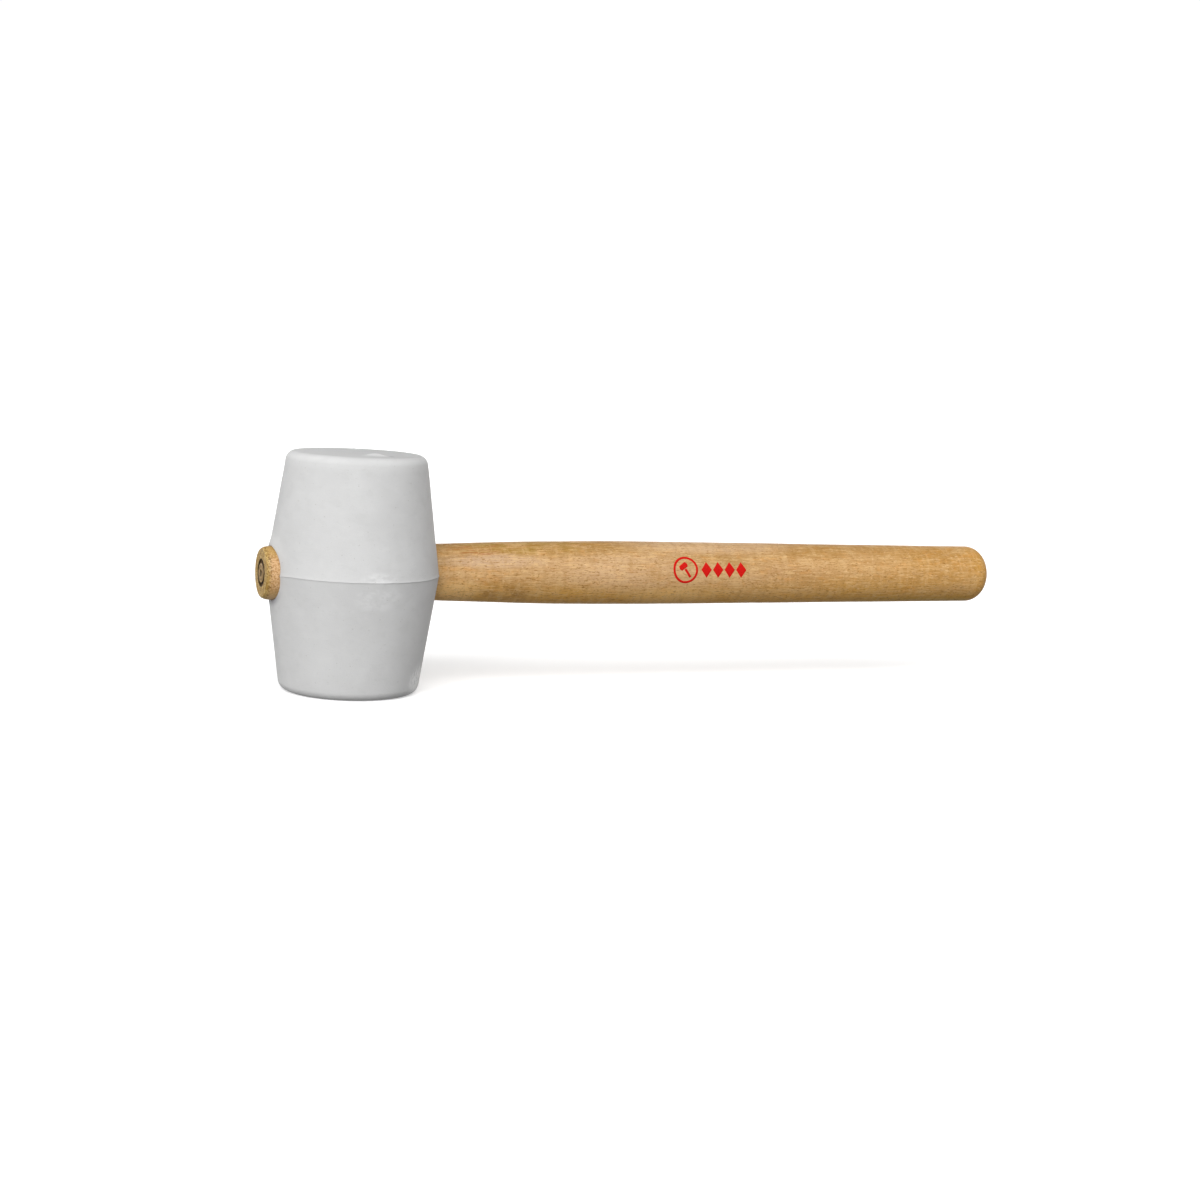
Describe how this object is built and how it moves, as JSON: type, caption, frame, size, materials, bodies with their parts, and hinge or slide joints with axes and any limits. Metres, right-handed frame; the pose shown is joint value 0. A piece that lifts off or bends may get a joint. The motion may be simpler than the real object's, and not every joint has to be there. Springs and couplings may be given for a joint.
{
  "type": "rubber mallet",
  "caption": "Rubber mallet: a moulded barrel-shaped rubber head on a turned wooden handle, held by a ring wedge driven into the end grain.",
  "frame": {"origin": "centre of the lower striking face", "axes": "+Z along the head's axis from the lower striking face to the upper one, +X along the handle from the head towards the butt of the grip, +Y completing the right-handed frame"},
  "size_m": [0.34, 0.07, 0.097],
  "materials": {
    "white_rubber": "matt moulded white rubber, slightly grey with use",
    "lacquered_hardwood": "clear lacquer on pale golden hardwood, with short brown flecks along the grain",
    "wedge_steel": "dark oxidised mild steel",
    "red_ink": null
  },
  "bodies": {
    "root": {"rubber_head": "white_rubber", "wooden_handle": "lacquered_hardwood", "ring_wedge": "wedge_steel"}
  },
  "joints": []
}
